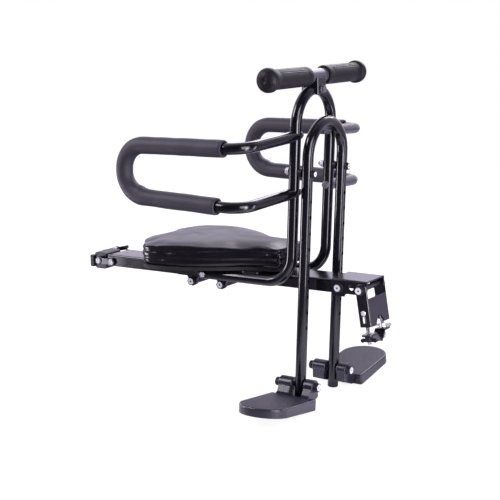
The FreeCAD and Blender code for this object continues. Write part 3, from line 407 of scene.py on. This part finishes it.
def face_outward(piece):
    work = bmesh.new()
    work.from_mesh(piece.data)
    bmesh.ops.recalc_face_normals(work, faces=work.faces)
    work.to_mesh(piece.data)
    work.free()


bar_long = 0.003
bar_wide = 0.0013
bar_high = 0.00012
bar_corners = 10
row_pitch = 0.0032
bar_pitch = 0.0046
plain_rim = 0.0055
top_flatness = 0.0002
# each bar from its foot, sunk in the plate, to its rounded top: change of radius and height
bar_rings = ((0.0, -0.0002), (-0.0001, 0.0001), (-0.0003, bar_high))
for side, way in (("left", 1), ("right", -1)):
    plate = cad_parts[side + "_footrest"]
    low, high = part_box(side + "_footrest")
    mid_x = (low.x + high.x) / 2
    tip = high.y if way > 0 else low.y
    # two points of the sloping top, 80 mm and 20 mm in from the tip
    drop = Vector((0, 0, -1))
    root, end = [plate.ray_cast(Vector((mid_x, tip - way * inset, high.z + 0.1)), drop)[1]
                 for inset in (0.08, 0.02)]
    climb = (end - root).normalized()
    raised = Vector((1, 0, 0)).cross(climb) * way
    verts = []
    faces = []
    for row in range(-14, 22):
        stagger = bar_pitch / 2 * (row % 2)
        for step in range(-10, 11):
            spot = root + climb * (row_pitch * row) + Vector((bar_pitch * step + stagger, 0, 0))
            # the rows reach past the plate, and a bar is left out where the top isn't flat for the
            # rim's width all round it
            clear = True
            for turn in range(8):
                angle = turn * math.pi / 4
                probe = (spot + Vector((plain_rim * math.cos(angle), 0, 0))
                         + climb * plain_rim * math.sin(angle))
                met, where, _, _ = plate.ray_cast(probe + raised * 0.02, -raised)
                clear = clear and met and abs((where - root).dot(raised)) < top_flatness
            if not clear:
                continue
            foot = len(verts)
            for grow, level in bar_rings:
                reach = bar_wide / 2 + grow
                for turn in range(bar_corners):
                    angle = (turn + 0.5) * math.pi / (bar_corners / 2)
                    half = math.copysign(bar_long / 2 - bar_wide / 2, math.cos(angle))
                    verts.append(spot + Vector((half + reach * math.cos(angle), 0, 0))
                                 + climb * reach * math.sin(angle) + raised * level)
            shoulder = foot + bar_corners
            top = shoulder + bar_corners
            faces += band(foot, shoulder, bar_corners) + band(shoulder, top, bar_corners)
            faces.append(tuple(top + turn for turn in range(bar_corners)))
    tread = new_piece(side + "_tread", verts, faces, tread_nylon_painted_glint)
    face_outward(tread)
    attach(tread, side + "_foot")

# Foam sleeves of the side guards, 27 mm closed-cell foam tube pushed over the bent loop.
# The foam bunches on the inside of the lower bend and its cut ends are slightly rounded.

# closed-cell foam: dull charcoal with a lilac cast, cloudy, with a fine grain of cells
eva_foam, place = new_finish("closed_cell_foam")
patch = add(eva_foam, "ShaderNodeTexNoise",
            {"Vector": place, "Scale": per_mm(22), "Detail": 5.0})
tone = add(eva_foam, "ShaderNodeMix",
           {"Factor": patch.outputs["Fac"], at_0: linear("#25222d"), at_1: linear("#34313f")},
           data_type="RGBA")
# cells are near 0.3 mm and are drawn at 0.9 mm so that they show
cells = add(eva_foam, "ShaderNodeTexVoronoi", {"Vector": place, "Scale": per_mm(0.9)})
skin = add(eva_foam, "ShaderNodeBump",
           {"Height": cells.outputs["Distance"], "Strength": 0.25, "Distance": 0.0003})
cover(eva_foam, add(eva_foam, "ShaderNodeBsdfPrincipled",
                    {"Base Color": tone.outputs[blended], "Roughness": 0.58,
                     "Normal": skin.outputs["Normal"]}))

foam_r = 0.0134
bore_r = 0.00895
bend_r = 0.038
# the lower end stops this far short of the upper one
low_end_back = 0.015
# the lower run climbs 9 mm over the 214 mm from its front corner to the rear
slope = math.atan2(9.0, 213.6)
ring_gap = 0.0035
ring_points = 40
# the foam's outside is uneven, about a radius a little under the nominal one
outer_slack = 0.0003
uneven_deep = 0.0005
uneven_per_m = 38
# bunching grows through the lower bend and fades at the start of the lower run
bunch_starts, bunch_full, bunch_fade = 0.45, 0.93, 0.13
bunch_deep = 0.004
# cut end from the bore to the outside: how far it lies back, and the radius there
cut_end = [(-0.002, bore_r), (-0.0006, bore_r + 0.0002), (0, bore_r + 0.001),
           (0, foam_r - 0.0018), (-0.0005, foam_r - 0.0007)]


def round_ring(centre, out, across, radius):
    ring = []
    for turn in range(ring_points):
        angle = 2 * math.pi * turn / ring_points
        ring.append(centre + (out * math.cos(angle) + across * math.sin(angle)) * radius)
    return ring


for side, way in (("left", 1), ("right", -1)):
    low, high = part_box(side + "_guard_foam")
    across = Vector((0, way, 0))
    top_end = high.x
    low_end = high.x - low_end_back
    rear = low.x + foam_r
    low_rear = low.z + foam_r + (low_end - rear) * math.tan(slope)
    last = math.pi - slope
    reach = bend_r * math.tan((last - math.pi / 2) / 2)
    # upper run, upper bend, rear run, lower bend and lower run: length, heading at start and at end
    runs = [(top_end - rear - bend_r, 0.0, 0.0),
            (bend_r * math.pi / 2, 0.0, math.pi / 2),
            (high.z - foam_r - low_rear - bend_r - reach, math.pi / 2, math.pi / 2),
            (bend_r * (last - math.pi / 2), math.pi / 2, last),
            ((low_end - rear) / math.cos(slope) - reach, last, last)]
    spot = Vector((top_end, (low.y + high.y) / 2, high.z - foam_r))
    # each ring's centre, its outward direction, and how far the loop has turned: 1 after the lower
    # bend, and on to 2 along the lower run
    spots = [(spot.copy(), Vector((0, 0, 1)), 0.0)]
    for length, start, stop in runs:
        count = max(2, round(length / ring_gap))
        for k in range(count):
            heading = start + (stop - start) * (k + 0.5) / count
            chord = length / count
            spot = spot + Vector((-math.cos(heading), 0, -math.sin(heading))) * chord
            reached = start + (stop - start) * (k + 1) / count
            turned = reached / last
            if start == last:
                turned += (k + 1) / count
            spots.append((spot.copy(), Vector((-math.sin(reached), 0, math.cos(reached))), turned))
    outside = []
    for centre, out, turned in spots[1:-1]:
        if turned <= bunch_full:
            bunch = max(0.0, (turned - bunch_starts) / (bunch_full - bunch_starts)) ** 1.6
        else:
            bunch = max(0.0, 1 - (turned - bunch_full) / bunch_fade)
        ring = []
        for turn in range(ring_points):
            angle = 2 * math.pi * turn / ring_points
            toward = out * math.cos(angle) + across * math.sin(angle)
            inside = max(0.0, -math.cos(angle)) ** 2
            uneven = noise.noise(centre * uneven_per_m + toward * 0.35 + across * 3) * uneven_deep
            radius = foam_r - outer_slack + uneven + bunch_deep * bunch * inside
            ring.append(centre + toward * radius)
        outside.append(ring)
    top_cut, low_cut = [[round_ring(centre + Vector((back, 0, 0)), out, across, radius)
                         for back, radius in cut_end] for centre, out, _ in (spots[0], spots[-1])]
    bore = [round_ring(centre, out, across, bore_r) for centre, out, _ in reversed(spots[1:-1])]
    rings = top_cut + outside + low_cut[::-1] + bore
    verts = [point for ring in rings for point in ring]
    faces = []
    for index in range(len(rings)):
        following = (index + 1) % len(rings)
        faces += band(index * ring_points, following * ring_points, ring_points)
    sleeve = new_piece(side + "_foam_sleeve", verts, faces, eva_foam)
    face_outward(sleeve)
    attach(sleeve, "seat")
    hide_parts(side + "_guard_foam")

# Grips, moulded rubber sleeves with a bell flange and a closed, dimpled end.
# Fine ribs run along the barrel, and a smooth panel is left bare between plain collars.

# grip rubber: near black and dull, with a bloom that drifts and fine pores
grip_rubber, place = new_finish("moulded_grip_rubber")
bloom = add(grip_rubber, "ShaderNodeTexNoise",
            {"Vector": place, "Scale": per_mm(12), "Detail": 5.0})
tone = add(grip_rubber, "ShaderNodeMix",
           {"Factor": bloom.outputs["Fac"], at_0: linear("#0d0c10"), at_1: linear("#18161c")},
           data_type="RGBA")
gloss = add(grip_rubber, "ShaderNodeMapRange",
            {"Value": bloom.outputs["Fac"], "From Min": 0.3, "From Max": 0.7,
             "To Min": 0.46, "To Max": 0.62})
pores = add(grip_rubber, "ShaderNodeTexNoise",
            {"Vector": place, "Scale": per_mm(0.6), "Detail": 2.0})
skin = add(grip_rubber, "ShaderNodeBump",
           {"Height": pores.outputs["Fac"], "Strength": 0.15, "Distance": 0.0002})
cover(grip_rubber, add(grip_rubber, "ShaderNodeBsdfPrincipled",
                       {"Base Color": tone.outputs[blended], "Roughness": gloss.outputs["Result"],
                        "Normal": skin.outputs["Normal"], "Specular IOR Level": 0.26}))

# profile of the grip as radius and distance from its inner end, in millimetres
inner_collar = [(11.1, 0.6), (13.6, 0), (14.4, 0.3), (14.9, 1.2), (15, 3), (15, 12), (14.6, 13.2),
                (14.6, 14.4), (15, 15.6)]
barrel = [(15, along) for along in range(22, 79, 8)] + [(15, 88)]
outer_collar = [(14.6, 89.2), (14.6, 90.4), (15, 91.6), (15, 99)]
bell = [(15.4, 100.6), (16.6, 101.8), (17.6, 102.6), (18.1, 104), (18.2, 107), (18.1, 110)]
closed_end = [(17.4, 112.2), (16, 114.4), (14, 116.6), (11, 118.6), (8, 119.6), (5, 120),
              (4, 119.9), (3.2, 119.3), (2.4, 118.8), (1.2, 118.6), (0.05, 118.6)]
grip_profile = inner_collar + barrel + outer_collar + bell + closed_end
ribs_start, ribs_end = 15.5, 88.5
rib_deep = 0.55
panel_deep = 0.35
panel_half_angle = 0.62
rib_count = 24
points_per_rib = 5
grip_points = rib_count * points_per_rib
for side, way in (("left", 1), ("right", -1)):
    low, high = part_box(side + "_grip")
    axis_x = (low.x + high.x) / 2
    axis_z = (low.z + high.z) / 2
    start = low.y if way > 0 else high.y
    verts = []
    for radius, along in grip_profile:
        for turn in range(grip_points):
            angle = 2 * math.pi * turn / grip_points
            r = radius
            if ribs_start < along < ribs_end:
                groove = abs((turn % points_per_rib - 2) / 2)
                bare = abs((angle + math.pi) % (2 * math.pi) - math.pi) < panel_half_angle
                r -= panel_deep if bare else rib_deep * groove ** 3
            verts.append((axis_x + r / 1000 * math.cos(angle), start + way * along / 1000,
                          axis_z + r / 1000 * math.sin(angle)))
    faces = []
    for index in range(len(grip_profile) - 1):
        faces += band(index * grip_points, (index + 1) * grip_points, grip_points)
    if way > 0:
        faces = [face[::-1] for face in faces]
    grip = new_piece(side + "_handle_grip", verts, faces, grip_rubber)
    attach(grip, "seat")
    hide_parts(side + "_grip")

# Board under the cushion, sawn birch plywood coloured near-black.
# Dull near-black with a trace of brown, and fibres along the board.
birch_ply, place = new_finish("near_black_birch_plywood")
stretch = add(birch_ply, "ShaderNodeMapping", {"Vector": place, "Scale": (0.12, 1.0, 6.0)})
fibre = add(birch_ply, "ShaderNodeTexNoise",
            {"Vector": stretch.outputs["Vector"], "Scale": per_mm(3.5), "Detail": 5.0})
tone = add(birch_ply, "ShaderNodeMix",
           {"Factor": fibre.outputs["Fac"], at_0: linear("#0c0b0d"), at_1: linear("#191718")},
           data_type="RGBA")
skin = add(birch_ply, "ShaderNodeBump",
           {"Height": fibre.outputs["Fac"], "Strength": 0.2, "Distance": 0.0003})
cover(birch_ply, add(birch_ply, "ShaderNodeBsdfPrincipled",
                     {"Base Color": tone.outputs[blended], "Roughness": 0.7,
                      "Normal": skin.outputs["Normal"]}))
dress(birch_ply, "seat_board")

# Saddle cushion: foam on the board under a stretched cover of coated cloth.
# Two sewn creases part its wall into three puffed bands, and soft pulls show near the waist.

# coated cloth: satin black with a fine leather grain and a grey sheen across the top
coated_cloth, place = new_finish("coated_cloth")
worn = add(coated_cloth, "ShaderNodeTexNoise",
           {"Vector": place, "Scale": per_mm(40), "Detail": 4.0})
tone = add(coated_cloth, "ShaderNodeMix",
           {"Factor": worn.outputs["Fac"], at_0: linear("#0e0d11"), at_1: linear("#1b191f")},
           data_type="RGBA")
top_gloss = add(coated_cloth, "ShaderNodeMapRange",
                {"Value": worn.outputs["Fac"], "From Min": 0.3, "From Max": 0.7,
                 "To Min": 0.3, "To Max": 0.4})
# the cover is stretched tight round the wall and is glossier there than on the top
facing = add(coated_cloth, "ShaderNodeSeparateXYZ", {"Vector": place.node.outputs["Normal"]})
gloss = add(coated_cloth, "ShaderNodeMapRange",
            {"Value": facing.outputs["Z"], "From Min": 0.4, "From Max": 0.8,
             "To Min": 0.17, "To Max": top_gloss.outputs["Result"]})
# grain cells are about 1 mm and are drawn at 1.5 mm so that they show
pebble = add(coated_cloth, "ShaderNodeTexVoronoi", {"Vector": place, "Scale": per_mm(1.5)},
             feature="SMOOTH_F1")
skin = add(coated_cloth, "ShaderNodeBump",
           {"Height": pebble.outputs["Distance"], "Strength": 0.07, "Distance": 0.0003})
cover(coated_cloth, add(coated_cloth, "ShaderNodeBsdfPrincipled",
                        {"Base Color": tone.outputs[blended], "Roughness": gloss.outputs["Result"],
                         "Normal": skin.outputs["Normal"], "Specular IOR Level": 0.4}))

mesh_pitch = 0.005
weld_gap = 0.00002
foam_undercut = 0.0016
base_firm, base_fade = 0.002, 0.006
glue_line = 0.003
swell_steps = 20
swell_share = 0.75
swell_most = 0.005
top_panel_facing = 0.86
# the rear draws in about a point on the middle line, from so far forward and so far below the top
rear_draw = 0.05
draw_about = 0.115
draw_starts, draw_fade = 0.17, 0.12
draw_below, draw_below_fade = 0.0015, 0.006
# upward part of the normal at which the wall gives way to the top, and at which the pulls start
wall_facing, wall_fade = 0.5, 0.3
pull_facing, pull_fade = 0.75, 0.2
crease_heights = (0.0116, 0.0232)
crease_half = 0.002
crease_deep = 0.0019
edge_starts = 0.02
edge_square = 0.0022
pull_deep = 0.0004


def settle(piece):
    graph = bpy.context.evaluated_depsgraph_get()
    made = bpy.data.meshes.new_from_object(piece.evaluated_get(graph))
    piece.modifiers.clear()
    piece.data = made


def ramp(value):
    return min(1.0, max(0.0, value))


def eased(value):
    return ramp(value) ** 2 * (3 - 2 * ramp(value))


low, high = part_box("cushion")
work = bmesh.new()
work.from_mesh(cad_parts["cushion"].data)
bmesh.ops.remove_doubles(work, verts=work.verts, dist=weld_gap)
pad_mesh = bpy.data.meshes.new("saddle_cushion")
work.to_mesh(pad_mesh)
work.free()
cushion = bpy.data.objects.new("saddle_cushion", pad_mesh)
bpy.context.scene.collection.objects.link(cushion)
even = cushion.modifiers.new("even_mesh", "REMESH")
even.mode = "VOXEL"
even.voxel_size = mesh_pitch
settle(cushion)
# the foam is cut a little small and swells against its cover
for vert in cushion.data.vertices:
    hold = ramp((vert.co.z - low.z - base_firm) / base_fade)
    vert.co -= vert.normal * foam_undercut * hold
base = cushion.vertex_groups.new(name="glued_base")
glued = [v.index for v in cushion.data.vertices if v.co.z < low.z + glue_line]
base.add(glued, 1.0, "REPLACE")
before = [v.co.copy() for v in cushion.data.vertices]
stuffing = cushion.modifiers.new("stuffing", "CLOTH")
stuffing.settings.quality = 4
stuffing.settings.use_pressure = True
stuffing.settings.uniform_pressure_force = 4.0
stuffing.settings.effector_weights.gravity = 0.0
stuffing.settings.vertex_group_mass = "glued_base"
stuffing.point_cache.frame_end = swell_steps
for step in range(1, swell_steps + 1):
    bpy.context.scene.frame_set(step)
settle(cushion)
bpy.context.scene.frame_set(1)
# firm foam holds the cover to three quarters of the swell
for vert, start in zip(cushion.data.vertices, before):
    move = vert.co - start
    vert.co = start + move * min(swell_share, swell_most / max(move.length, 0.0001))
cushion.data.update()
evened_cover = cushion.modifiers.new("evened_cover", "SMOOTH")
evened_cover.factor = 0.5
evened_cover.iterations = 8
settle(cushion)
panel = cushion.vertex_groups.new(name="top_panel")
upward = [v.index for v in cushion.data.vertices if v.normal.z > top_panel_facing]
panel.add(upward, 1.0, "REPLACE")
evened_panel = cushion.modifiers.new("evened_panel", "SMOOTH")
evened_panel.factor = 0.5
evened_panel.iterations = 10
evened_panel.vertex_group = "top_panel"
fine = cushion.modifiers.new("fine_mesh", "SUBSURF")
fine.levels = 1
settle(cushion)
# the cover is drawn in tighter round the broad rear, so the wall stands upright under a crisp edge
broad_x = low.x + draw_about
for vert in cushion.data.vertices:
    to_rear = eased((low.x + draw_starts - vert.co.x) / draw_fade)
    below_edge = eased((high.z - draw_below - vert.co.z) / draw_below_fade)
    draw = rear_draw * to_rear * below_edge
    vert.co.x = broad_x + (vert.co.x - broad_x) * (1 - draw)
    vert.co.y *= 1 - draw
cushion.data.update()
outward = [vert.normal.copy() for vert in cushion.data.vertices]
for vert, normal in zip(cushion.data.vertices, outward):
    # the thread of each crease draws the wall in
    wall = 1 - ramp((abs(normal.z) - wall_facing) / wall_fade)
    dip = sum(math.exp(-((vert.co.z - (low.z + height)) / crease_half) ** 2)
              for height in crease_heights)
    vert.co -= Vector((normal.x, normal.y, 0)) * crease_deep * dip * wall
    # foam is squared off under the top edge, so the cover turns over it sharply
    if vert.co.z > low.z + edge_starts and normal.z > 0:
        slant = 4 * normal.z ** 2 * (1 - normal.z ** 2)
        vert.co += normal * edge_square * slant * slant
    # pulls run slantwise out from the waist, and differ on the two sides
    top = ramp((normal.z - pull_facing) / pull_fade)
    aside = abs(vert.co.y)
    pull = Vector((vert.co.x * 14 + aside * 10, aside * 46 - vert.co.x * 30,
                   math.copysign(3.0, vert.co.y)))
    vert.co += normal * pull_deep * noise.noise(pull) * top
cushion.data.materials.clear()
cushion.data.materials.append(coated_cloth)
cushion.data.polygons.foreach_set("use_smooth", [True] * len(cushion.data.polygons))
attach(cushion, "seat")
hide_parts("cushion")

# Studio floor, a wide sweep of pale matt paint just under the lowest point.
# It is white to the camera and keeps a soft shadow.
floor_z = cad_box[0][2] - 0.0005
floor_half = 8
floor_paint, place = new_finish("pale_floor_paint")
mottle = add(floor_paint, "ShaderNodeTexNoise",
             {"Vector": place, "Scale": per_mm(120), "Detail": 3.0})
tone = add(floor_paint, "ShaderNodeMix",
           {"Factor": mottle.outputs["Fac"], at_0: linear("#9c9a9e"), at_1: linear("#a6a4a8")},
           data_type="RGBA")
ray = add(floor_paint, "ShaderNodeLightPath", {})
dull = add(floor_paint, "ShaderNodeBsdfDiffuse", {"Color": tone.outputs[blended]})
faint = add(floor_paint, "ShaderNodeBsdfDiffuse", {"Color": linear("#7c7c7c")})
white = add(floor_paint, "ShaderNodeEmission", {"Color": linear("#ffffff"), "Strength": 0.9})
seen = add(floor_paint, "ShaderNodeAddShader",
           {0: faint.outputs["BSDF"], 1: white.outputs["Emission"]})
# gloss paint would show a white floor as grey haze, so mirrored rays meet it as a card with painted
# light, dim in front and bright towards the back
parts = add(floor_paint, "ShaderNodeSeparateXYZ", {"Vector": place})
depth = add(floor_paint, "ShaderNodeMapRange",
            {"Value": parts.outputs["Y"], "From Min": -0.4, "From Max": 1.2})
painted_light_by_depth = add(floor_paint, "ShaderNodeMix",
               {"Factor": depth.outputs["Result"], at_0: linear("#59575f"),
                at_1: linear("#c4bfd1")}, data_type="RGBA")
# a painted pool of white light close under the footrests, seen in mirrored rays
pool_centre = (0, -0.1, floor_z)
from_feet = add(floor_paint, "ShaderNodeVectorMath", {0: place, 1: pool_centre},
                operation="DISTANCE")
pool_near_feet = add(floor_paint, "ShaderNodeMapRange",
            {"Value": from_feet.outputs["Value"], "From Min": 0.45, "From Max": 0.2})
painted_light_card = add(floor_paint, "ShaderNodeMix",
           {"Factor": pool_near_feet.outputs["Result"], at_0: painted_light_by_depth.outputs[blended],
            at_1: linear("#f9f6ff")}, data_type="RGBA")
shaded = add(floor_paint, "ShaderNodeBsdfDiffuse", {"Color": painted_light_card.outputs[blended]})
lit = add(floor_paint, "ShaderNodeMixShader",
          {0: ray.outputs["Is Glossy Ray"], 1: dull.outputs["BSDF"], 2: shaded.outputs["BSDF"]})
cover(floor_paint, add(floor_paint, "ShaderNodeMixShader",
                       {0: ray.outputs["Is Camera Ray"], 1: lit.outputs["Shader"],
                        2: seen.outputs["Shader"]}))
corners = [(x * floor_half, y * floor_half, floor_z)
           for x, y in ((-1, -1), (1, -1), (1, 1), (-1, 1))]
floor = new_piece("studio_floor", corners, [(0, 1, 2, 3)], floor_paint)

# Light: a broad softbox from the upper left, one overhead behind and a tall one at the right.
# Two thin strips beside the legs give the long streaks on the tubes, a small box low behind gives
# their rims, and a strip low at the left gives the highlights on the cushion's corner.
lit_middle = Vector((-0.23, 0, 0.12))
lamp_tint = linear("#f9f5ff")[:3]


def softbox(name, spot, wide, tall, power):
    lamp = bpy.data.lights.new(name, "AREA")
    lamp.shape = "RECTANGLE"
    lamp.size = wide
    lamp.size_y = tall
    lamp.energy = power
    lamp.color = lamp_tint
    stand = bpy.data.objects.new(name, lamp)
    stand.location = spot
    stand.rotation_euler = (lit_middle - Vector(spot)).to_track_quat("-Z", "Y").to_euler()
    bpy.context.scene.collection.objects.link(stand)


softbox("left_softbox", (-1.7, -1.3, 1.5), wide=1.0, tall=1.0, power=34)
softbox("back_softbox", (-0.4, 1.9, 1.6), wide=1.8, tall=1.2, power=40)
softbox("right_softbox", (1.35, -0.8, 0.5), wide=0.9, tall=1.6, power=28)
softbox("streak_strip", (0.46, -0.33, 0.12), wide=0.13, tall=0.5, power=2.2)
softbox("edge_strip", (0.5, 0.1, 0.12), wide=0.1, tall=0.5, power=1.2)
softbox("rim_softbox", (-1.75, 0.85, 0.42), wide=0.5, tall=0.5, power=2.2)
softbox("corner_strip", (-0.97, -0.38, 0.01), wide=0.2, tall=0.28, power=2.6)

# Studio room round the set: white to the camera, and for the object a pale lilac glow
# that is strongest from the upper left behind.
world = bpy.data.worlds.new("studio")
bpy.context.scene.world = world
world.use_nodes = True
ray = add(world, "ShaderNodeLightPath", {})
aim = add(world, "ShaderNodeTexCoord", {}).outputs["Generated"]
glow_from = (-0.6, 0.75, 0.28)
toward_glow = add(world, "ShaderNodeVectorMath", {0: aim, 1: glow_from}, operation="DOT_PRODUCT")
glow = add(world, "ShaderNodeMapRange",
           {"Value": toward_glow.outputs["Value"], "From Min": -0.25, "From Max": 0.75,
            "To Min": 0.0315, "To Max": 1.386})
level = add(world, "ShaderNodeMix",
            {"Factor": ray.outputs["Is Camera Ray"], "A": glow.outputs["Result"], "B": 1.0})
hue = add(world, "ShaderNodeMix",
          {"Factor": ray.outputs["Is Camera Ray"], at_0: linear("#eee8ff"),
           at_1: linear("#ffffff")}, data_type="RGBA")
sky = world.node_tree.nodes["Background"]
world.node_tree.links.new(hue.outputs[blended], sky.inputs["Color"])
world.node_tree.links.new(level.outputs["Result"], sky.inputs["Strength"])
bpy.context.scene.view_settings.view_transform = "Standard"

# Camera at the photograph's place, solved from the symmetry of the legs, guards and handlebar.
# A long lens that looks down a little, with a slight roll.
eye = Vector((0.81706, -1.57225, 0.46869))
heading = math.radians(33.6598)
look_down = math.radians(11.0351)
roll = math.radians(-1.4352)
focal_px = 1171.995
image_px = 500
sensor_mm = 36.0
gaze = Vector((-math.sin(heading) * math.cos(look_down), math.cos(heading) * math.cos(look_down),
               -math.sin(look_down)))
level_right = Vector((math.cos(heading), math.sin(heading), 0))
level_up = level_right.cross(gaze)
right = level_right * math.cos(roll) + level_up * math.sin(roll)
up = level_up * math.cos(roll) - level_right * math.sin(roll)
lens = bpy.data.cameras.new("camera")
lens.sensor_fit = "HORIZONTAL"
lens.sensor_width = sensor_mm
lens.lens = focal_px * sensor_mm / image_px
camera = bpy.data.objects.new("camera", lens)
camera.matrix_world = Matrix(((right.x, up.x, -gaze.x, eye.x), (right.y, up.y, -gaze.y, eye.y),
                              (right.z, up.z, -gaze.z, eye.z), (0, 0, 0, 1)))
bpy.context.scene.collection.objects.link(camera)
bpy.context.scene.camera = camera
